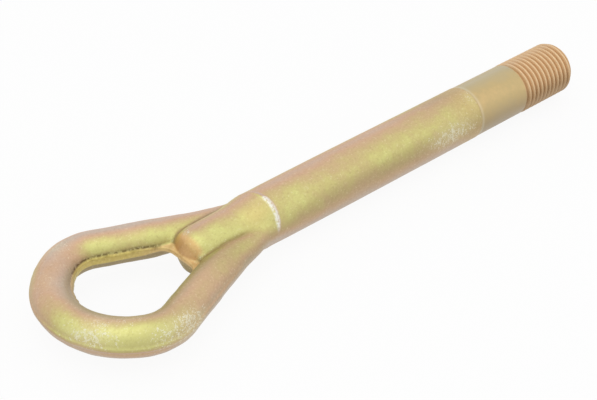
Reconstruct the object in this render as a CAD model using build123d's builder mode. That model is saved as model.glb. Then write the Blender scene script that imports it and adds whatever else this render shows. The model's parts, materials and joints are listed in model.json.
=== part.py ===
# Screw-in towing eye: one drop forging in steel. A loop of round bar closes on a
# tongue, its two arms run together into a long round shank, and the shank ends in
# a turned seat, a relief groove and a thread.
#
# The frame is the thread's: the origin is where the thread begins, on the shank's
# axis; +X runs out of the threaded end; +Z is square to the plane of the eye.

import os
from math import acos, asin, cos, degrees, radians, sin

from build123d import *

# Thread, seat and shank (mm)
THREAD_DIAMETER = 22.0
THREAD_PITCH = 2.5
THREAD_DEPTH_RATIO = 0.6134  # depth of a metric thread over its pitch
THREAD_LENGTH = 28.6
LEAD_CHAMFER = 2.0
RELIEF_WIDTH = 1.4
RELIEF_DEPTH = 0.7
SEAT_DIAMETER = 21.7
SEAT_LENGTH = 27.0
SHANK_DIAMETER = 22.0

# Loop of the eye (inside sizes, reach from the thread to the middle of the loop)
EYE_REACH = 198.8
EYE_WIDTH = 39.0
BAR_DIAMETER = 13.6
CORNER_RADIUS = 8.7
FAR_END_DEPTH = 15.0
ARM_ANGLE = 23.9

# Run of the arms into the shank, measured from the middle of the loop
NECK_START = 39.4
NECK_LENGTH = 44.0
NECK_LEAD_IN = 16.0
NECK_LEAD_OUT = 4.0
ARM_END_OFFSET = 3.5

# Tongue between the arms, and the ridge where it drops to the shank
TONGUE_START = 27.0
TONGUE_LENGTH = 35.5
TONGUE_END_DIAMETER = 19.4
TONGUE_ROOT_DIAMETER = 22.4
TONGUE_CROWN = 18.0
TONGUE_EDGE_RADIUS = 2.5
RIDGE_FALL = 1.5
RIDGE_DROP = 0.45
SHANK_TAPER_LENGTH = 38.0

# Land left all round the eye where its web was pierced out
LAND_HEIGHT = 2.8
LAND_PROUD = 0.7
LAND_CORNER_RADIUS = 3.0

bar_radius = BAR_DIAMETER / 2
shank_radius = SHANK_DIAMETER / 2
seat_radius = SEAT_DIAMETER / 2
thread_radius = THREAD_DIAMETER / 2
thread_root_radius = thread_radius - THREAD_DEPTH_RATIO * THREAD_PITCH
tongue_end_radius = TONGUE_END_DIAMETER / 2
tongue_root_radius = TONGUE_ROOT_DIAMETER / 2
nose_angle = degrees(asin(tongue_end_radius / TONGUE_CROWN))
ridge_foot_radius = tongue_root_radius - RIDGE_DROP

# Stations along the axis
eye_x = -EYE_REACH
tongue_x = eye_x + TONGUE_START
ridge_x = tongue_x + TONGUE_LENGTH
ridge_foot_x = ridge_x + RIDGE_FALL
taper_end_x = ridge_foot_x + SHANK_TAPER_LENGTH
seat_end_x = -RELIEF_WIDTH
seat_start_x = seat_end_x - SEAT_LENGTH

# Centreline of the bar, in the plane of the eye: a wide arc at the far end, an
# arc at each corner that touches it from inside, and an arm leaving each corner
corner_line_radius = CORNER_RADIUS + bar_radius
corner_y = EYE_WIDTH / 2 + bar_radius - corner_line_radius
far_depth = FAR_END_DEPTH + bar_radius
depth_step = far_depth - corner_line_radius
far_line_radius = (far_depth**2 + corner_y**2 - corner_line_radius**2) / (2 * depth_step)
radius_step = far_line_radius - corner_line_radius
far_x = eye_x - far_depth + far_line_radius
far_angle = degrees(acos((eye_x - far_x) / radius_step))
arm_normal = Vector(sin(radians(ARM_ANGLE)), cos(radians(ARM_ANGLE)))
arm_direction = Vector(cos(radians(ARM_ANGLE)), -sin(radians(ARM_ANGLE)))


def loop_half(inset, end_x):
    """Draw the upper half of the loop, inset from the bar's centreline, and give the arm's end at end_x."""
    corner = Vector(eye_x, corner_y)
    corner_radius = corner_line_radius - inset
    start = corner + arm_normal * corner_radius
    end = start + arm_direction * ((end_x - start.X) / arm_direction.X)
    CenterArc((far_x, 0), far_line_radius - inset, far_angle, 180 - far_angle)
    CenterArc(corner, corner_radius, 90 - ARM_ANGLE, far_angle + ARM_ANGLE - 90)
    Line(start, end)
    return end


with BuildLine() as bar_line:
    neck_start = loop_half(0, eye_x + NECK_START)
    neck_end = Vector(eye_x + NECK_START + NECK_LENGTH, ARM_END_OFFSET)
    Bezier(
        neck_start,
        neck_start + arm_direction * NECK_LEAD_IN,
        neck_end - Vector(NECK_LEAD_OUT, 0),
        neck_end,
    )
    mirror(about=Plane.XZ)

with BuildPart() as towing_eye:
    # Tongue, shank, seat and thread are one round profile; the tongue's end is crowned
    with BuildSketch(Plane.XZ) as profile:
        with BuildLine():
            nose = CenterArc((tongue_x + TONGUE_CROWN, 0), TONGUE_CROWN, 180 - nose_angle, nose_angle)
            Polyline(
                nose @ 0,
                (ridge_x, tongue_root_radius),
                (ridge_foot_x, ridge_foot_radius),
                (taper_end_x, shank_radius),
                (seat_start_x, shank_radius),
                (seat_start_x, seat_radius),
                (seat_end_x, seat_radius),
                (seat_end_x, seat_radius - RELIEF_DEPTH),
                (0, seat_radius - RELIEF_DEPTH),
                (0, thread_radius),
                (THREAD_LENGTH - LEAD_CHAMFER, thread_radius),
                (THREAD_LENGTH, thread_root_radius),
                (THREAD_LENGTH, 0),
                nose @ 1,
            )
        make_face()
        nose_edge = profile.vertices().sort_by_distance(nose @ 0)[0]
        fillet(nose_edge, TONGUE_EDGE_RADIUS)
    revolve(axis=Axis.X)

    # The loop is one bar, carried round the eye and into the shank at both ends
    with BuildSketch(Plane(neck_end, x_dir=(0, 1, 0), z_dir=(1, 0, 0))):
        Circle(bar_radius)
    sweep(path=bar_line.wires()[0])

    # The land is a thin plate from inside the bar to just proud of it
    with BuildSketch() as land:
        with BuildLine():
            root = loop_half(0, tongue_x + bar_radius)
            mirror(about=Plane.XZ)
            Line(root, (root.X, -root.Y))
        make_face()
        with BuildLine():
            mouth = loop_half(bar_radius + LAND_PROUD, tongue_x - LAND_PROUD)
            mirror(about=Plane.XZ)
            Line(mouth, (mouth.X, -mouth.Y))
        make_face(mode=Mode.SUBTRACT)
        mouth_corners = land.vertices().filter_by(lambda v: abs(v.X - mouth.X) < 1e-6)
        fillet(mouth_corners, LAND_CORNER_RADIUS)
    extrude(amount=LAND_HEIGHT / 2, both=True)

os.makedirs("parts", exist_ok=True)
towing_eye.part.label = "towing_eye"
export_step(towing_eye.part, "parts/towing_eye.step")
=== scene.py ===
# %% [markdown]
# # A screw-in towing eye, dressed over its solid
# The real part is one drop forging: a bar bent round an eye, closed on a tongue, and run
# into a long shank whose end is turned and threaded. The solid already has the true sizes
# in metres. This lesson loads it as a fixed frame and lays a finer skin over it: soft
# forged blends, a ragged trimmed land, a rolled thread, and a yellow passivated zinc finish.

# %% Load the frame
import json
import bmesh
import bpy
import numpy as np
from mathutils import Matrix

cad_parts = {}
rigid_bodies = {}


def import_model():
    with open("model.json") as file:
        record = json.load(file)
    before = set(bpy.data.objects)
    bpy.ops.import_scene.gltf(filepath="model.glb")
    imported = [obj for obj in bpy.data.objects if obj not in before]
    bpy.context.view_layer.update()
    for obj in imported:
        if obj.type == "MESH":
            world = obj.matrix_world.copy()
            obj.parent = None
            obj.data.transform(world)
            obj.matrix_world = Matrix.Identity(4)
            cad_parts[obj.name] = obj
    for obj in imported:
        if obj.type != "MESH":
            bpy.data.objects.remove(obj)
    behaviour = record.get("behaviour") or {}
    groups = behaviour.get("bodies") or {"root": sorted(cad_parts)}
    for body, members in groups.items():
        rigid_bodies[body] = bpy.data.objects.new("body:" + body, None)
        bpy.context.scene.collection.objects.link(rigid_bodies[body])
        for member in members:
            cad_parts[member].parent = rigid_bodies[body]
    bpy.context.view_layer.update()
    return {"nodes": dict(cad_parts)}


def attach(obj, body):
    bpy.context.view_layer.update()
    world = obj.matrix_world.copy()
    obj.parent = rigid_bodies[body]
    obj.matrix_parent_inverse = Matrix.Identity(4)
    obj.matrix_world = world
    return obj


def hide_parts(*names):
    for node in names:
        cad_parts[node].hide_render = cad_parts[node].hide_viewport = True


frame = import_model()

MM = 0.001


# %% [markdown]
# ## The sizes
# The skin follows the solid's sizes, in millimetres: x runs along the shank and is zero
# where the thread begins, and z is square to the plane of the eye. Only the tongue is
# slimmer and rounder than the solid's, and the arms thin out beside it, as on the real
# forging. The sizes could be measured back from the mesh, but a few named numbers are
# easier to read and to change.

# %% Sizes of loop, tongue, shank and thread
BAR_R = 6.8
EYE_X, EYE_HALF, CORNER_R, FAR_DEPTH = -198.8, 19.5, 8.7, 15.0
ARM_ANGLE = np.radians(23.9)
NECK_START, NECK_LENGTH, LEAD_IN, LEAD_OUT, ARM_END = 39.4, 44.0, 16.0, 4.0, 3.5
TONGUE_X, TONGUE_R, CROWN_R, CROWN_NARROWING = EYE_X + 27.0, 8.7, 16.0, 1.2
RIDGE_X, RIDGE_R, RIDGE_FALL, RIDGE_DROP, TAPER = TONGUE_X + 35.5, 11.2, 1.5, 0.45, 38.0
ARM_THINNING = 2.4
SHANK_R, SEAT_R, SEAT_X, RELIEF_X, RELIEF_R = 11.0, 10.85, -28.4, -1.4, 10.15
LAND_HALF, LAND_PROUD = 1.4, 0.7
THREAD_R, PITCH, THREAD_END, CHAMFER = 11.0, 2.5, 28.6, 2.0
THREAD_ROOT = THREAD_R - 0.6134 * PITCH

corner_line_r = CORNER_R + BAR_R
corner_y = EYE_HALF + BAR_R - corner_line_r
far_depth = FAR_DEPTH + BAR_R
far_line_r = (far_depth**2 + corner_y**2 - corner_line_r**2) / (2 * (far_depth - corner_line_r))
far_x = EYE_X - far_depth + far_line_r
far_angle = np.arccos((EYE_X - far_x) / (far_line_r - corner_line_r))
print("far end's line radius", round(far_line_r, 2), "mm, corner centres at y", round(corner_y, 2))

# %% [markdown]
# ## Unevenness that can be repeated
# Hot steel fills a die a little unevenly and scale leaves it rippled. Random numbers would
# change the part at each run, so the ripple is a lattice noise: a fixed value at each point
# of a grid, found from the point's whole-number place, and blended smoothly in between.

# %% A lattice noise on whole arrays
def smoothstep(low, high, v):
    """0 below low, 1 above high, and the S-curve 3t^2 - 2t^3 between them; falls if low > high."""
    t = np.clip((v - low) / (high - low), 0, 1)
    return t * t * (3 - 2 * t)


def lattice_noise(p, size, seed=0):
    """Smooth noise from -1 to 1: the eight corner values of each cube of the given size,
    each a fixed scramble of the corner's place, blended by the S-curve 3t^2 - 2t^3."""
    q = p / size
    cell = np.floor(q).astype(np.int64)
    t = smoothstep(0, 1, q - cell)
    total = np.zeros(len(p))
    for corner in range(8):
        bit = np.array([corner & 1, corner >> 1 & 1, corner >> 2 & 1])
        i, j, k = ((cell + bit) % 1024).T
        h = i * 73856093 ^ j * 19349663 ^ k * 83492791 ^ (seed * 2654435761 + 97)
        h = h & 0xFFFFFFFF
        h = (h ^ (h >> 13)) * 1274126177 & 0xFFFFFFFF
        value = ((h ^ (h >> 16)) & 0xFFFF) / 32767.5 - 1
        total += value * np.prod(np.where(bit, t, 1 - t), axis=1)
    return total


sample = lattice_noise(np.random.default_rng(1).uniform(0, 90, (2000, 3)), 7.0)
print("noise runs from", round(sample.min(), 2), "to", round(sample.max(), 2))

# %% [markdown]
# ## The bar's centreline
# The eye is a round bar. Any point's distance from the bar is known once its distance from
# the bar's centreline is: a wide arc at the far end, an arc at each corner, a straight arm,
# and a curve that runs into the shank. The two halves are alike, so only |y| matters.

# %% The run of one arm into the shank
arm_normal = np.array([np.sin(ARM_ANGLE), np.cos(ARM_ANGLE)])
arm_way = np.array([np.cos(ARM_ANGLE), -np.sin(ARM_ANGLE)])
arm_start = np.array([EYE_X, corner_y]) + corner_line_r * arm_normal
neck_start = arm_start + arm_way * ((EYE_X + NECK_START - arm_start[0]) / arm_way[0])
neck_end = np.array([EYE_X + NECK_START + NECK_LENGTH, ARM_END])
lead_in, lead_out = neck_start + arm_way * LEAD_IN, neck_end - [LEAD_OUT, 0]
t = np.linspace(0, 1, 49)[:, None]
neck = (1 - t) ** 3 * neck_start + 3 * t * (1 - t) ** 2 * lead_in
neck += 3 * t**2 * (1 - t) * lead_out + t**3 * neck_end
arm_run = np.vstack([arm_start, neck])
print("arm runs from", arm_start.round(1), "to", neck_end.round(1))

# %% Signed distance from the centreline in the plane of the eye
def centreline_distance(x, y):
    """Distance from the bar's centreline in the plane, positive on the eye's side: the
    nearest of two arcs (radius minus distance from the centre) and a run of short chords."""
    y = np.abs(y)
    best = np.full(x.shape, 1e9)
    for cx, cy, radius, low, high in (
        (far_x, 0, far_line_r, far_angle, np.pi),
        (EYE_X, corner_y, corner_line_r, np.pi / 2 - ARM_ANGLE, far_angle),
    ):
        a = np.arctan2(y - cy, x - cx)
        d = radius - np.hypot(x - cx, y - cy)
        best = np.where((a >= low) & (a <= high) & (np.abs(d) < np.abs(best)), d, best)
    for a, b in zip(arm_run[:-1], arm_run[1:]):
        ux, uy = b - a
        s = np.clip(((x - a[0]) * ux + (y - a[1]) * uy) / (ux**2 + uy**2), 0, 1)
        side = np.sign((y - a[1]) * ux - (x - a[0]) * uy)
        d = -np.where(side == 0, 1, side) * np.hypot(x - a[0] - s * ux, y - a[1] - s * uy)
        best = np.where(np.abs(d) < np.abs(best), d, best)
    return best


middle = centreline_distance(np.array([EYE_X]), np.array([0.0]))
print("middle of the eye lies", middle.round(2), "mm inside the line")

# %% [markdown]
# ## One field for the whole forging
# In the die the arms, the tongue and the shank flow into each other with soft corners.
# Joining separate meshes would leave sharp creases, and a bevel fails where the creases die
# out, so the forging is written as one field that is negative inside the steel. A smooth
# minimum joins two forms with a rounded corner, and a smooth maximum rounds an edge.

# %% Smooth joins
CREASE_BLEND, EDGE_BLEND, LAND_BLEND = 2.0, 3.4, 0.9


def smooth_min(a, b, k):
    """The lower of two fields, with the corner filled over a band of width k."""
    h = np.maximum(k - np.abs(a - b), 0) / k
    return np.minimum(a, b) - h * h * k / 4


def smooth_max(a, b, k):
    """The higher of two fields, with the edge rounded over a band of width k."""
    return -smooth_min(-a, -b, k)


print("two walls that meet square are filled by", -smooth_min(0.0, 0.0, CREASE_BLEND), "mm")

# %% Bar, round stock and crowned end
RIDGE_ANGLE = np.radians(131.5)
fall_x = RIDGE_X + RIDGE_FALL
# Each column is a place along the axis and the radius there
RIDGED = np.transpose([
    (TONGUE_X, TONGUE_R), (TONGUE_X + 10, 9.0), (TONGUE_X + 23, 9.4), (RIDGE_X, RIDGE_R),
    (fall_x, RIDGE_R - RIDGE_DROP), (fall_x + TAPER, SHANK_R), (SEAT_X, SHANK_R),
])
PLAIN = np.transpose([
    (TONGUE_X, TONGUE_R), (TONGUE_X + 23, 9.4), (RIDGE_X - 4, 10.8), (fall_x + TAPER, SHANK_R),
])


def ridge_bow(y, z):
    """How far the ridge bends back towards the eye: 5 mm times one less the cosine of the
    angle from its foremost point, and never over 2 mm."""
    return np.minimum(5 * (1 - np.cos(np.arctan2(z, y) - RIDGE_ANGLE)), 2)


def thinned_bar(x, line, z):
    """Distance from the centreline less the bar's radius. Beside the tongue the radius falls
    by the thinning, and the line moves outwards by 1.4, then 0.9, times as much."""
    thinning = ARM_THINNING * smoothstep(TONGUE_X - 5, RIDGE_X - 6, x)
    thinning = thinning * smoothstep(RIDGE_X + 14, RIDGE_X, x)
    outward = thinning * (1.4 - 0.5 * smoothstep(RIDGE_X - 16, RIDGE_X - 4, x))
    return np.hypot(line + outward, z) - BAR_R + thinning


def round_stock(x, y, z):
    """Distance from the axis less the profile's radius: the plain profile all round, and on
    the upper near side the ridged one, bowed, with a low bead along the ridge."""
    along = x + ridge_bow(y, z)
    ridged = np.interp(along, *RIDGED) + 0.2 * np.exp(-(((along - RIDGE_X) / 0.6) ** 2))
    plain = np.interp(x, *PLAIN)
    upper = smoothstep(-1.5, 3.0, z) * smoothstep(7.0, 1.0, y)
    return np.hypot(y, z) - plain - upper * (ridged - plain)


def crowned_end(x, y, z):
    """A narrowed ball that cuts the tongue's end: distance from its centre, or from the axis
    past it, less its radius, with y stretched by the narrowing."""
    back = np.minimum(x - TONGUE_X - CROWN_R, 0)
    return np.sqrt(back**2 + (CROWN_NARROWING * y) ** 2 + z**2) - CROWN_R


print("crown at the tongue's tip:", crowned_end(np.array([TONGUE_X]), 0.0, 0.0).round(3), "mm")

# %% Trimmed land and parting line
def trimmed_land(p, line):
    """A thin plate on the parting plane, a little proud of the bar inside the eye and of the
    tongue, with noise on its torn edge; and a hair-high ridge round the loop's outside."""
    x, y, z = p.T
    torn = np.zeros(len(p))
    near = (np.abs(z) < 3) & (x < TONGUE_X + 2 * BAR_R) & (line > 3)
    flat = p[near] * [1, 1, 0.3]
    torn[near] = 0.22 * lattice_noise(flat, 1.3, 5) + 0.2 * lattice_noise(flat, 4.0, 6)
    lip_bar = np.maximum(line - BAR_R - LAND_PROUD + torn, -line)
    lip_tongue = np.maximum(TONGUE_X - LAND_PROUD - x, np.abs(y) - BAR_R * 2)
    lip = np.maximum(smooth_min(lip_bar, lip_tongue, 3.6), x - TONGUE_X - BAR_R)
    thin = 0.45 * smoothstep(TONGUE_X - 9, TONGUE_X - 3, x)
    plate = smooth_max(lip, np.abs(z) - LAND_HALF + thin - 0.35 * torn, 0.7)
    parting = smooth_max(-line - BAR_R - 0.22, np.abs(z) - 0.7, 0.6)
    parting = np.maximum(parting, x - EYE_X - NECK_START)
    return np.minimum(plate, np.maximum(parting, line))


rim = np.array([[EYE_X, EYE_HALF - LAND_PROUD, 0.0]])
print("land's field at the eye's rim:", trimmed_land(rim, np.array([BAR_R])).round(2), "mm")

# %% The whole forging, and its ripple
def forging_forms(p):
    """The fields of the bar, the tongue, its crown, the round stock and the land. The tongue
    is the stock cut by the crown with a soft edge, and by the seat's plane."""
    x, y, z = p.T
    line = centreline_distance(x, y)
    stock, crown = round_stock(x, y, z), crowned_end(x, y, z)
    tongue = smooth_max(smooth_max(stock, crown, EDGE_BLEND), x - SEAT_X, 0.5)
    return thinned_bar(x, line, z), tongue, crown, stock, trimmed_land(p, line)


def forging_field(p):
    """Bar and tongue joined with a soft crease, softest at the tongue's end, and the land
    joined more tightly."""
    bar, tongue, crown, stock, land = forging_forms(p)
    crease = CREASE_BLEND + 2.0 * smoothstep(TONGUE_X + 8, TONGUE_X, p[:, 0])
    return smooth_min(smooth_min(bar, tongue, crease), land, LAND_BLEND)


def forged_ripple(p):
    """How far the forged skin stands in or out: two sizes of lattice noise, weaker on the
    drawn shank than on the loop and tongue."""
    forged = 1 - 0.85 * smoothstep(RIDGE_X, RIDGE_X + 12, p[:, 0])
    return forged * (0.13 * lattice_noise(p, 8.0, 1) + 0.05 * lattice_noise(p, 2.6, 2))


probe = np.array([[EYE_X, 0, 0], [-100.0, 0, 0], [EYE_X - far_depth, 0, 0]])
print("field at the eye, in the shank and in the far end:", forging_field(probe).round(2))

# %% [markdown]
# ## A skin to carry the field
# The field says where the surface is, and a mesh has to be laid on it. The solid's own mesh
# is close to it already, so a copy of it, cut off where the turned seat begins and rebuilt
# as an even net of half-millimetre squares, is slid along the field's slope until every
# corner lies on the surface. Between slides each corner is drawn to the middle of its
# neighbours along the surface, so that the net stays even.

# %% An even net from a copy of the solid
NET_SIZE = 0.52


def placed(name, data):
    """A new object at the origin, in the scene."""
    obj = bpy.data.objects.new(name, data)
    bpy.context.scene.collection.objects.link(obj)
    return obj


def even_net(source, name, cut_x, size):
    """A closed copy of a mesh, cut at cut_x and rebuilt as squares of the given size."""
    bm = bmesh.new()
    bm.from_mesh(source.data)
    bmesh.ops.remove_doubles(bm, verts=bm.verts, dist=1e-6)
    everything = list(bm.verts) + list(bm.edges) + list(bm.faces)
    bmesh.ops.bisect_plane(
        bm, geom=everything, plane_co=(cut_x * MM, 0, 0), plane_no=(1, 0, 0), clear_outer=True)
    bmesh.ops.holes_fill(bm, edges=[e for e in bm.edges if e.is_boundary])
    mesh = bpy.data.meshes.new(name)
    bm.to_mesh(mesh)
    bm.free()
    obj = placed(name, mesh)
    squares = obj.modifiers.new("squares", "REMESH")
    squares.mode = "VOXEL"
    squares.voxel_size = size * MM
    shown = obj.evaluated_get(bpy.context.evaluated_depsgraph_get())
    net = bpy.data.meshes.new_from_object(shown)
    obj.modifiers.clear()
    obj.data = net
    net.name = name
    return obj


forged_body = even_net(frame["nodes"]["towing_eye"], "forged_body", SEAT_X, NET_SIZE)
body_mesh = forged_body.data
print("net:", len(body_mesh.polygons), "squares")

# %% Sliding along the slope
def slope(field, p, step=0.02):
    """The field's value, and its gradient by differences over one step along each axis."""
    here = field(p)
    return here, np.stack([(field(p + e) - here) / step for e in np.eye(3) * step], axis=1)


def slide(field, p, times):
    """Each point moves by field / slope along the slope, at most 0.6 mm at a time."""
    for _ in range(times):
        here, g = slope(field, p)
        move = (here / np.maximum((g * g).sum(1), 0.05))[:, None] * g
        far = np.linalg.norm(move, axis=1, keepdims=True)
        p = p - move * np.minimum(1, 0.6 / np.maximum(far, 1e-9))
    return p


def even_out(field, p, edges, times):
    """Each point moves half way to the mean of its neighbours, but only along the surface."""
    start, end = np.concatenate([edges, edges[:, ::-1]]).T
    count = np.bincount(start, minlength=len(p))[:, None]
    for _ in range(times):
        mean = np.stack([np.bincount(start, p[end, k], len(p)) for k in range(3)], 1) / count
        here, g = slope(field, p)
        n = g / np.maximum(np.linalg.norm(g, axis=1, keepdims=True), 1e-9)
        pull = mean - p
        p = p + 0.5 * (pull - (pull * n).sum(1, keepdims=True) * n) - here[:, None] * n
    return p


co = np.empty(len(body_mesh.vertices) * 3, np.float32)
body_mesh.vertices.foreach_get("co", co)
edges = np.empty(len(body_mesh.edges) * 2, np.int64)
body_mesh.edges.foreach_get("vertices", edges)
skin_points = slide(forging_field, co.reshape(-1, 3).astype(float) / MM, 3)
skin_points = even_out(forging_field, skin_points, edges.reshape(-1, 2), 4)
skin_points = slide(forging_field, skin_points, 2)
off = np.abs(forging_field(skin_points)).max()
print("furthest point from the field:", round(float(off), 3), "mm")

# %% Ripple, and back into the mesh
normal = slope(forging_field, skin_points, 0.1)[1]
normal /= np.linalg.norm(normal, axis=1, keepdims=True)
skin_points = skin_points + forged_ripple(skin_points)[:, None] * normal
body_mesh.vertices.foreach_set("co", (skin_points * MM).astype(np.float32).ravel())
body_mesh.polygons.foreach_set("use_smooth", np.ones(len(body_mesh.polygons), bool))
body_mesh.update()
print("forged body from", skin_points.min(0).round(1), "to", skin_points.max(0).round(1), "mm")

# %% [markdown]
# ## What the finish needs to know
# The passivate's colour turns from yellow-green to salmon round every bar. Here it is set by how
# squarely each point faces a bright side, so the band that faces it carries painted sheen. It is
# rubbed white along edges and where parts knock together in the barrel, with a few painted
# highlights among the rubbed patches, and darker as painted shade where points face down, inside
# the loop and in creases. A painted picture could hold all this, but it would have to be
# unwrapped onto the skin. These are worked out from the surface here and stored on the mesh's
# points.

# %% The film's colour, with painted sheen
def unit(*v):
    """A direction of length one."""
    return np.array(v) / np.linalg.norm(v)


BRIGHT_SIDE, BACK_SIDE = unit(-0.50, -0.62, 0.60), unit(-0.25, 0.93, 0.27)
THICK_CORNER = [(0.50, (EYE_X + 12, 20, 5), (18, 14, 20))]
FILM_AND_SHEEN_PATCHES = [
    (0.10, (EYE_X - 16, 12, 0), (16, 18, 20)),
    (-0.08, (EYE_X - 10, -24, 0), (12, 12, 20)),
    (-0.10, (TONGUE_X + 15, -5, 8), (13, 6, 6)),
    (-0.08, (EYE_X + 32, -17, 6), (15, 9, 9)),
    (-0.14, (EYE_X + 38, -12, 6), (13, 5, 5)),
    (0.30, (EYE_X + 42, -17, -1), (14, 4, 5)),
    (-0.12, (EYE_X - 26, -9, 2.5), (7, 9, 5)),
    (0.25, (EYE_X - 6, 27, 5.5), (11, 5, 5)),
]


def patches(p, rows):
    """The sum of soft patches, each a weight, a place and a size: the weight at its place,
    falling as exp(-d^2), with d measured in its own sizes."""
    return sum(w * np.exp(-(((p - place) / size) ** 2).sum(1)) for w, place, size in rows)


def film_and_sheen_of(p, n):
    """Film and painted sheen from 0, yellow-green, to 1, pink: 1.4 times one less the part of the
    normal along the bright side's line, or the back's if more, with slow noise. Where the normal
    faces the bright side the colour is a painted sheen."""
    facing = np.maximum(np.abs(n @ BRIGHT_SIDE), n @ BACK_SIDE)
    slow = 0.10 * lattice_noise(p, 16.0, 11) + 0.06 * lattice_noise(p, 5.0, 12)
    return 1.4 * (1 - facing) + slow


# The film value carries painted sheen; patches then shift it at set places.
film = film_and_sheen_of(skin_points, normal) * (1 + patches(skin_points, THICK_CORNER))
film = film + patches(skin_points, FILM_AND_SHEEN_PATCHES)
print("film runs from", round(float(film.min()), 2), "to", round(float(film.max()), 2))

# %% Painted shade below and inside the loop, and the tongue's end face
# Patches that darken the same mask at set places.
DARKER_PATCHES = [
    (0.45, (EYE_X + 36, -13, 6), (16, 6, 8)),
    (0.50, (SEAT_X - 12, 3, 10.5), (18, 5, 5)),
    (0.40, (EYE_X, -29.5, 6), (14, 4, 4)),
]
WARM_ROOT = [(0.40, (RIDGE_X - 7, -6.5, 8), (6, 4, 4))]
x, y, z = skin_points.T
line = centreline_distance(x, y)
bar, tongue, crown, stock, land = forging_forms(skin_points)
lift = normal[:, 2]

nose = smoothstep(-1.2, 1.0, crown - stock) * smoothstep(-0.5, 2.0, bar - tongue)
inside = smoothstep(-3.0, 4.0, line) * smoothstep(TONGUE_X + 14, TONGUE_X - 4, x)
inside = np.maximum(inside, nose)
# Painted shade: darker where the normal turns down, and on the loop's inside where it turns away
# from the bright side.
drained = 0.55 * smoothstep(0.75, 0.1, lift) * (1 - 0.6 * smoothstep(0.1, -0.5, lift))
drained += 0.9 * inside * smoothstep(0.85, 0.3, normal @ BRIGHT_SIDE) * smoothstep(14, -10, y)
drained += patches(skin_points, DARKER_PATCHES)
# Painted shade under the loop's inside, where the normal turns down.
under = inside * smoothstep(0.10, -0.40, lift)
end_face = nose * smoothstep(-2.5, 1.5, z) * smoothstep(0.5, 3.0, bar - tongue)
end_face += patches(skin_points, WARM_ROOT)
print("points on the tongue's end face:", int((end_face > 0.5).sum()))

# %% Rubbed patches with painted highlights, the turned run, and the ridge's wear and highlight
RUBBED_AND_LIT = [
    (0.95, (EYE_X + 4, -31.5, 2.5), (14, 4.5, 5)),
    (0.35, (EYE_X - 26, -10, 2.5), (6, 9, 4)),
    (0.45, (EYE_X - 7, 27, 5.5), (9, 5, 4)),
    (0.80, (EYE_X - 21, -17.5, 4), (9, 7, 4)),
    (0.40, (EYE_X - 6, -21, 6.5), (8, 4, 2)),
    # The next two are painted highlights on the edges of the tongue's end, not rubbing.
    (0.60, (TONGUE_X + 3, 3, 8.5), (3, 4, 2)),
    (0.50, (TONGUE_X + 2.5, -7.5, 4), (2, 2, 4)),
    (0.30, (EYE_X - 19, 13, 6), (7, 8, 4)),
    (0.95, (-46, -10.6, 2.6), (14, 3, 5)),
    (0.50, (SEAT_X - 2, -4, 10), (4, 6, 4)),
    (0.25, (-120, -6, 9), (16, 4, 4)),
]
rub = 0.10 + patches(skin_points, RUBBED_AND_LIT)
turned = smoothstep(SEAT_X - 16, SEAT_X - 5, x)
round_angle = np.degrees(np.arctan2(z, y)) % 360
# The ridge's white band is partly worn zinc and partly a painted highlight on its riser.
ridge = np.exp(-(((x + ridge_bow(y, z) - RIDGE_X - 0.2) / 1.25) ** 2))
ridge *= smoothstep(97, 108, round_angle) * smoothstep(190, 152, round_angle)
print("points on the worn ridge:", int((ridge > 0.5).sum()))

# %% Painted shade in the creases, the land and its torn line
def store(mesh, **layers):
    """Each array becomes a float attribute of the mesh's points."""
    for name, values in layers.items():
        layer = mesh.attributes.new(name, "FLOAT", "POINT")
        layer.data.foreach_set("value", np.asarray(values, np.float32))


# Painted shade in the crease between the bar and the tongue.
nook = np.maximum(1 - np.abs(bar - tongue) / 1.8, 0) * (np.minimum(bar, tongue) > -2)
nook *= smoothstep(RIDGE_X - 6, RIDGE_X - 18, x)
under_land = smooth_min(bar, tongue, CREASE_BLEND) - land
trimmed = np.maximum(smoothstep(EYE_X - 13, EYE_X - 4, x), smoothstep(0, -8, y))
on_land = smoothstep(-0.25, 0.15, under_land) * (line > 0) * (0.3 + 0.7 * trimmed)
torn_line = np.exp(-(((under_land + 0.3) / 0.6) ** 2)) * (land < 1.1) * (line > 0) * (z > 0)
torn_line *= smoothstep(TONGUE_X, TONGUE_X - 4, x) * trimmed
near_tongue = smoothstep(-14, 0, x - TONGUE_X)
store(body_mesh, film=film, drained=drained, under=under, end_face=end_face, rub=rub,
      turned=turned, ridge=ridge, nook=nook, land=on_land, torn=torn_line,
      near_tongue=near_tongue)
stored = [layer.name for layer in body_mesh.attributes if layer.data_type == "FLOAT"]
print("stored on the forged body:", stored)

# %% [markdown]
# ## Seat, relief groove and thread
# The other end is machined: a turned seat, a groove for the tool to run out, and a rolled
# right-hand thread. A spun profile could give the rings, but not the helix, so the whole end
# is one grid whose radius depends on both the place along the axis and the angle round it.

# %% Radius by place and angle
def thread_height(x, angle):
    """1 on the crest, 0 in the root: the place within a pitch, less the turn, folded to a
    triangle and eased by the S-curve, so that crest and root are both rounded."""
    turn = x / PITCH - angle / (2 * np.pi)
    fold = np.abs(2 * (turn - np.floor(turn)) - 1)
    return smoothstep(0.08, 0.86, fold)


def end_radius(x, angle):
    """Seat, then groove, then thread; the thread rises over its first turn and is cut by the
    lead chamfer's cone."""
    seat = SEAT_R - (SEAT_R - RELIEF_R) * smoothstep(RELIEF_X - 0.12, RELIEF_X + 0.22, x)
    rise = smoothstep(-0.75, -0.1, x)
    depth = THREAD_R - THREAD_ROOT
    thread = THREAD_ROOT + depth * thread_height(x, angle)
    cone = THREAD_R - depth * (x - THREAD_END + CHAMFER) / CHAMFER
    return np.where(x < -0.75, seat, smooth_min(seat * (1 - rise) + thread * rise, cone, 0.35))


print("radius on the seat:", end_radius(np.array([-15.0]), 0.0), "mm")

# %% The threaded end as one closed grid
ROUND = 192


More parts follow.
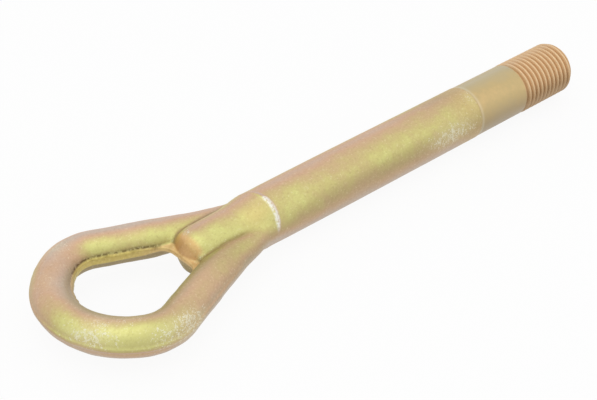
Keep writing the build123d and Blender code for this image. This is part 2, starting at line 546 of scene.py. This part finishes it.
def mesh_object(name, verts, faces):
    """A smooth mesh object at the origin from points in millimetres and a list of faces."""
    mesh = bpy.data.meshes.new(name)
    mesh.from_pydata(np.asarray(verts) * MM, [], faces)
    mesh.polygons.foreach_set("use_smooth", np.ones(len(faces), bool))
    mesh.update()
    return placed(name, mesh)


def closed_tube(name, rows_x, rows_r, angles):
    """A tube from rows of radii by columns of angles, closed round and at both ends by a
    fan of rings that shrinks to one point on the axis."""
    shrink = np.array([0.9, 0.6, 0.3])[:, None]
    rows_x = np.concatenate([np.repeat(rows_x[:1], 3), rows_x, np.repeat(rows_x[-1:], 3)])
    rows_r = np.vstack([rows_r[:1] * shrink[::-1], rows_r, rows_r[-1:] * shrink])
    ring = rows_x[:, None], rows_r * np.cos(angles), rows_r * np.sin(angles)
    grid = np.stack(np.broadcast_arrays(*ring), -1).reshape(-1, 3)
    verts = np.vstack([grid, [[rows_x[0], 0, 0], [rows_x[-1], 0, 0]]])
    index = np.arange(len(grid)).reshape(rows_r.shape)
    after = np.roll(index, -1, 1)
    quads = np.stack([after[:-1], after[1:], index[1:], index[:-1]], -1).reshape(-1, 4)
    first, last = np.full((2, ROUND), [[len(grid)], [len(grid) + 1]])
    fans = np.vstack([np.stack([first, after[0], index[0]], -1),
                      np.stack([last, index[-1], after[-1]], -1)])
    return mesh_object(name, verts, quads.tolist() + fans.tolist()), verts


seat_rows = np.linspace(SEAT_X - 0.6, RELIEF_X - 0.2, 70)
groove_rows = np.linspace(RELIEF_X - 0.12, -0.1, 22)
thread_rows = np.linspace(0.0, THREAD_END, 270)
rows_x = np.concatenate([seat_rows, groove_rows, thread_rows])
angles = np.arange(ROUND) * 2 * np.pi / ROUND
rows_r = end_radius(rows_x[:, None], angles[None, :])
threaded_end, end_points = closed_tube("threaded_end", rows_x, rows_r, angles)
print("threaded end:", len(threaded_end.data.polygons), "faces")

# %% [markdown]
# ## What the machined finish needs to know
# The same film colour and painted sheen lie on the seat and the thread, with painted shade in
# the thread's valleys and below. The valleys could be found from the mesh's own curvature, but
# the grid already knows each point's distance from the axis, so its depth under the crest is
# used.

# %% Threaded end: film and sheen, painted shade in valleys and below, seat's edge
end_x, depth_under_crest = end_points[:, 0], THREAD_R - np.hypot(end_points[:, 1], end_points[:, 2])
end_normal = end_points * [0, 1, 1]
end_normal /= np.maximum(np.linalg.norm(end_normal, axis=1, keepdims=True), 1e-9)
# Painted shade in the thread's valleys, by depth under the crest.
valley = np.clip(depth_under_crest / (THREAD_R - THREAD_ROOT), 0, 1) * (end_x > RELIEF_X - 0.1)
on_thread = smoothstep(-1.2, -0.6, end_x)
# Painted shade where the normal turns down.
end_shade_below = smoothstep(0.55, -0.15, end_normal[:, 2]) * (0.7 + 0.3 * on_thread)
seat_edge = np.exp(-(((end_x - SEAT_X - 0.5) / 0.6) ** 2))
store(threaded_end.data, film=film_and_sheen_of(end_points, end_normal), valley=valley,
      thread=on_thread, drained=end_shade_below, edge=seat_edge)
print("deepest valley", round(float(valley.max()), 2))

# %% [markdown]
# ## Shader sums in plain Python
# A finish is a long sum of noises and masks. Drawn node by node it is hard to read, so one
# small class wraps a socket: arithmetic on it adds Math nodes, colours are mixed by a mask,
# and any other node comes from one method.

# %% A socket that can be added and multiplied
class Wire:
    """One output socket of a node tree. +, - and * add Math nodes."""

    def __init__(self, tree, socket=None):
        self.tree, self.socket = tree, socket

    def node(self, kind, settings=None, inputs=None, out=0):
        """Any node: its settings first, then its sockets' values or links; gives one output."""
        made = self.tree.nodes.new(kind)
        for key, value in (settings or {}).items():
            if key == "stops":
                for _ in value[2:]:
                    made.color_ramp.elements.new(0.5)
                for stop, (place, colour) in zip(made.color_ramp.elements, value):
                    stop.position, stop.color = place, colour
            else:
                setattr(made, key, value)
        for key, value in (inputs or {}).items():
            if isinstance(value, Wire):
                self.tree.links.new(value.socket, made.inputs[key])
            else:
                made.inputs[key].default_value = value
        return Wire(self.tree, made.outputs[out])

    def maths(self, operation, a, b):
        """A Math node on two numbers or wires."""
        return self.node("ShaderNodeMath", {"operation": operation}, {0: a, 1: b})

    def __add__(self, other):
        return self.maths("ADD", self, other)

    def __sub__(self, other):
        return self.maths("SUBTRACT", self, other)

    def __rsub__(self, other):
        return self.maths("SUBTRACT", other, self)

    def __mul__(self, other):
        return self.maths("MULTIPLY", self, other)

    __radd__, __rmul__ = __add__, __mul__

    def rise(self, low, high):
        """0 below low and 1 above high, eased between them."""
        eased = {"interpolation_type": "SMOOTHSTEP"}
        span = {"Value": self, "From Min": low, "From Max": high}
        return self.node("ShaderNodeMapRange", eased, span)

    def noise(self, size, detail=3.0, rough=0.55):
        """Noise from 0 to 1 with features of about this size in millimetres."""
        grain = {"Vector": self, "Scale": 1 / (size * MM), "Detail": detail, "Roughness": rough}
        return self.node("ShaderNodeTexNoise", {}, grain)

    def ramp(self, stops):
        """The colour that this value has in a row of stops."""
        return self.node("ShaderNodeValToRGB", {"stops": stops}, {"Fac": self})

    def bump(self, strength, distance):
        """A normal from this height, its distance in millimetres."""
        lift = {"Strength": strength, "Distance": distance * MM, "Height": self}
        return self.node("ShaderNodeBump", {}, lift)

    def seen(self):
        """1 for what the camera sees, straight or mirrored, and 0 for light that scatters."""
        camera, glossy, through = [self.node("ShaderNodeLightPath", out=f"Is {way} Ray")
                                   for way in ("Camera", "Glossy", "Transmission")]
        return self.maths("MAXIMUM", self.maths("MAXIMUM", camera, glossy), through)

    def layer(self, name):
        """A float stored on the mesh's points."""
        return self.node("ShaderNodeAttribute", {"attribute_name": name}, out="Fac")

    def blend(self, first, second, mask):
        """The first colour where the mask is 0, and the second where it is 1."""
        return self.node("ShaderNodeMix", {"data_type": "RGBA"}, {0: mask, 6: first, 7: second}, 2)

    def over(self, colour, mask):
        """This colour with another laid over it where the mask is 1."""
        return self.blend(self, colour, mask)


print("a wire can be", [word for word in vars(Wire) if not word.startswith("_")])

# %% Colours, empty finishes and their sockets
def srgb(r, g, b):
    """A colour as a painter reads it, 0 to 255, made linear so that light adds up."""
    c = np.array([r, g, b]) / 255
    linear = np.where(c <= 0.04045, c / 12.92, ((c + 0.055) / 1.055) ** 2.4)
    return (*linear.tolist(), 1.0)


def new_finish(name):
    """An empty material, its node maker, and its shader."""
    material = bpy.data.materials.new(name)
    material.use_nodes = True
    tree = material.node_tree
    return material, Wire(tree), tree.nodes["Principled BSDF"]


def plug(shader, **sockets):
    """Link wires to the shader's sockets, or set plain numbers on them."""
    for name, value in sockets.items():
        socket = shader.inputs[name.replace("_", " ")]
        if isinstance(value, Wire):
            value.tree.links.new(value.socket, socket)
        else:
            socket.default_value = value


print("straw, as light:", [round(v, 3) for v in srgb(207, 196, 132)])

# %% [markdown]
# ## The forged finish
# Zinc over forged steel is silver and a little grainy; the yellow passivate turns it to straw
# and yellow-green where a point faces the bright side, as painted sheen, and to tan, salmon and
# grey-pink where it turns away. A single gold colour would look like brass, so the film and
# sheen value runs through a row of tints, then rubbing with painted highlights, painted shade
# below and in corners, the trimmed land and the end face are laid over it.

# %% Film and sheen tints, and what is laid over them
# Tints by the film and sheen value: the low end is the painted sheen of the side facing the bright
# side.
FILM_AND_SHEEN_TINTS = [
    (0.06, srgb(214, 211, 138)),
    (0.18, srgb(207, 196, 132)),
    (0.36, srgb(205, 181, 136)),
    (0.55, srgb(209, 175, 145)),
    (0.80, srgb(207, 180, 160)),
    (1.00, srgb(203, 184, 169)),
]
forging_finish, wire, shader = new_finish("yellow_passivated_forging")
place = wire.node("ShaderNodeTexCoord", out="Object")
grain = place.noise(0.8, 4.0, 0.7)
mottle = place.noise(2.4, 3.0)
cloud = place.noise(9.0, 2.0)
film_and_sheen_wire = wire.layer("film") + 0.22 * (mottle - 0.5) + 0.25 * (cloud - 0.5)
land_tint = wire.blend(srgb(214, 196, 112), srgb(226, 194, 136), wire.layer("near_tongue"))
ragged = 0.45 + 0.55 * place.noise(1.6, 4.0).rise(0.38, 0.56)
tint = film_and_sheen_wire.ramp(FILM_AND_SHEEN_TINTS)
for colour, mask in (
    (srgb(206, 180, 128), 0.60 * wire.layer("turned")),
    # Painted shade where points face down, or inside the loop away from the bright side.
    (srgb(168, 154, 106), 0.75 * wire.layer("drained")),
    # Painted shade under the loop's inside.
    (srgb(146, 130, 82), 0.75 * wire.layer("under")),
    # Painted shade in the creases.
    (srgb(138, 120, 70), 0.80 * wire.layer("nook")),
    (srgb(230, 184, 128), 0.70 * wire.layer("end_face")),
    (land_tint, 0.75 * wire.layer("land")),
    (srgb(88, 66, 36), 0.95 * wire.layer("torn") * ragged),
    # Rubbed white, with painted highlights at the tongue's end.
    (srgb(236, 228, 172), 0.30 * wire.layer("rub").rise(0.2, 0.9)),
    (srgb(150, 126, 86), 0.28 * grain.rise(0.53, 0.72)),
    (srgb(240, 234, 196), 0.35 * (1 - grain).rise(0.55, 0.72)),
):
    tint = tint.over(colour, mask)
print("tints laid with", len(forging_finish.node_tree.nodes), "nodes")

# %% Flecks, the ridge's wear and painted highlight, and the grain's relief
specks = 0.6 * place.noise(1.5, 6.0, 0.75) + 0.4 * place.noise(0.45, 2.0)
fleck = (specks + 0.12 * wire.layer("rub")).rise(0.60, 0.68) * (0.25 + wire.layer("rub"))
# Wear and painted highlight on the ridge: white, and less metallic.
wear_and_highlight = wire.layer("ridge").rise(0.15, 0.8) * place.noise(0.8, 5.0, 0.75).rise(0.36, 0.52)
tint = tint.over(srgb(236, 234, 214), 0.65 * fleck.rise(0.05, 0.7))
tint = tint.over(srgb(246, 244, 232), 0.9 * wear_and_highlight)
height = 0.6 * grain + 0.5 * mottle + 0.25 * fleck
plug(shader, Base_Color=tint, Roughness=0.40 + 0.14 * mottle + 0.10 * grain,
     Metallic=0.82 - 0.35 * wear_and_highlight, Normal=height.bump(0.5, 0.2))
forged_body.data.materials.clear()
forged_body.data.materials.append(forging_finish)
print("forging finish:", len(forging_finish.node_tree.nodes), "nodes")

# %% [markdown]
# ## The machined finish
# The seat and the thread carry the same film and painted sheen over brighter, smoother metal,
# so they read tan and copper, with painted shade in the thread's valleys and below. The rings
# that the turning tool leaves on the seat could be cut into the grid, but they are far finer
# than its rows, so they are a wave along the shank's axis, as a bump.

# %% Passivated thread and seat
SEAT_TINTS = [
    (0.05, srgb(216, 186, 132)),
    (0.25, srgb(200, 177, 127)),
    (0.55, srgb(192, 176, 138)),
    (0.95, srgb(194, 184, 160)),
]
THREAD_TINTS = [
    (0.1, srgb(226, 194, 152)),
    (0.5, srgb(222, 188, 146)),
    (0.9, srgb(218, 190, 156)),
]
RING_PITCH = 0.28
thread_finish, wire, shader = new_finish("passivated_thread")
place = wire.node("ShaderNodeTexCoord", out="Object")
along = place.node("ShaderNodeSeparateXYZ", {}, {"Vector": place}, "X")
mottle = place.noise(2.4, 3.0)
grain = place.noise(0.5, 4.0, 0.6)
film_and_sheen_wire = wire.layer("film") + 0.25 * (mottle - 0.5)
seat = 1 - wire.layer("thread")
pale = 0.4 * place.noise(0.9, 5.0, 0.7).rise(0.66, 0.76) * seat + 0.28 * wire.layer("edge")
# Both rows are read by the film and sheen value, so they carry the same painted sheen.
tint = film_and_sheen_wire.ramp(THREAD_TINTS).over(film_and_sheen_wire.ramp(SEAT_TINTS), seat)
# Painted shade in the valleys.
tint = tint.over(srgb(196, 160, 120), 0.40 * wire.layer("valley").rise(0.25, 0.95))
# Painted shade below.
tint = tint.over(srgb(150, 118, 78), 0.55 * wire.layer("drained"))
tint = tint.over(srgb(230, 226, 200), pale)
rings = wire.maths("SINE", along * (2 * np.pi / (RING_PITCH * MM)), 0.0)
height = 0.20 * rings * seat + 0.5 * grain
plug(shader, Base_Color=tint, Roughness=0.40 + 0.12 * mottle, Metallic=0.65,
     Normal=height.bump(0.25, 0.1))
threaded_end.data.materials.append(thread_finish)
print("thread finish:", len(thread_finish.node_tree.nodes), "nodes")

# %% [markdown]
# ## Onto the frame
# On the real part both ends are the same piece of steel. They could be joined into one mesh,
# but the net and the grid are laid so differently that two pieces are simpler. They ride on
# the same body and stand for the same solid.

# %% Set both pieces on the frame
for piece in (forged_body, threaded_end):
    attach(piece, "root")
    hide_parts("towing_eye")

# %% [markdown]
# ## The table
# The part lies on a white table. Enough light to make the table white would wash out the
# part, so the table shows the camera, and the metal's reflections, an even white, and keeps
# a faint share of its true shading, so that the shadow stays.

# %% White table
FLOOR_Z, FLOOR_HALF, GLOW_SHARE = -11.35, 2500, 0.92
corners = np.array([[-1, -1, 0], [1, -1, 0], [1, 1, 0], [-1, 1, 0]]) * FLOOR_HALF
floor = mesh_object("floor", corners + [0, 0, FLOOR_Z], [[0, 1, 2, 3]])
table_white, wire, shader = new_finish("table_white")
plug(shader, Base_Color=(0.86, 0.86, 0.86, 1.0), Roughness=0.9)
glow = wire.node("ShaderNodeEmission", {}, {"Color": (1, 1, 1, 1), "Strength": 1.0})
shaded = Wire(wire.tree, shader.outputs[0])
mixed = wire.node("ShaderNodeMixShader", {}, {0: GLOW_SHARE * wire.seen(), 1: shaded, 2: glow})
plug(wire.tree.nodes["Material Output"], Surface=mixed)
floor.data.materials.append(table_white)
print("floor at z", FLOOR_Z, "mm")

# %% [markdown]
# ## The light
# The studio is a white room with wide soft lamps. One strong lamp would give hard shadows
# and burnt edges on metal, so most of the light comes from all round, and three large lamps
# only shape it: a key from the loop's side, one from the near side, and one above.

# %% Soft light
ROOM_LIGHT = 0.84
MIDDLE = np.array([-100.0, 0, 0])
world = bpy.data.worlds.new("soft_studio")
world.use_nodes = True
bpy.context.scene.world = world
room = ROOM_LIGHT + (1 - ROOM_LIGHT) * Wire(world.node_tree).seen()
plug(world.node_tree.nodes["Background"], Color=(1.0, 1.0, 1.0, 1.0), Strength=room)
bpy.context.scene.view_settings.view_transform = "Standard"


def stand(obj, side, up, back, place):
    """Turn an object to three axes and set it at a place in millimetres."""
    pose = np.eye(4)
    pose[:3] = np.stack([side, up, back, np.asarray(place) * MM], axis=1)
    obj.matrix_world = Matrix(pose.tolist())


def soft_lamp(name, place, size, power):
    """A square area lamp that faces the part's middle; its side is level."""
    lamp = bpy.data.lights.new(name, "AREA")
    lamp.size, lamp.energy = size * MM, power
    back = unit(*(place - MIDDLE))
    side = unit(*np.cross([0, 0, 1], back))
    stand(placed(name, lamp), side, np.cross(back, side), back, place)


soft_lamp("key", (-490, -245, 780), 420, 0.6)
soft_lamp("side", (330, -560, 520), 520, 0.25)
soft_lamp("top", (-160, 60, 820), 700, 0.6)

# %% [markdown]
# ## The camera
# The camera stands where the picture was taken from. It could be set by eye, but its
# heading, dip and distance were fitted to the part's outline, so they are used as numbers:
# it looks at a point on the shank's axis, from a distance, with a slight tilt.

# %% Camera at the picture's angle
FRAME_PIXELS, FOCAL_PIXELS, SENSOR = 597, 1383.5, 36.0
AIM, DISTANCE = np.array([-118.477, -0.964, 0.0]), 508.464
heading, dip, tilt = np.radians([47.886, 35.187, 0.091])
camera = bpy.data.cameras.new("camera")
camera.sensor_width, camera.lens = SENSOR, SENSOR * FOCAL_PIXELS / FRAME_PIXELS
camera.clip_start, camera.clip_end = 0.01, 20.0
ahead = np.array([np.cos(dip) * np.cos(heading), np.cos(dip) * np.sin(heading), -np.sin(dip)])
level = np.array([np.sin(heading), -np.cos(heading), 0.0])
rise = np.cross(level, ahead)
right = np.cos(tilt) * level + np.sin(tilt) * rise
up = np.cos(tilt) * rise - np.sin(tilt) * level
camera_object = placed("camera", camera)
stand(camera_object, right, up, -ahead, AIM - DISTANCE * ahead)
bpy.context.scene.camera = camera_object
print("camera at", (AIM - DISTANCE * ahead).round(1), "mm")
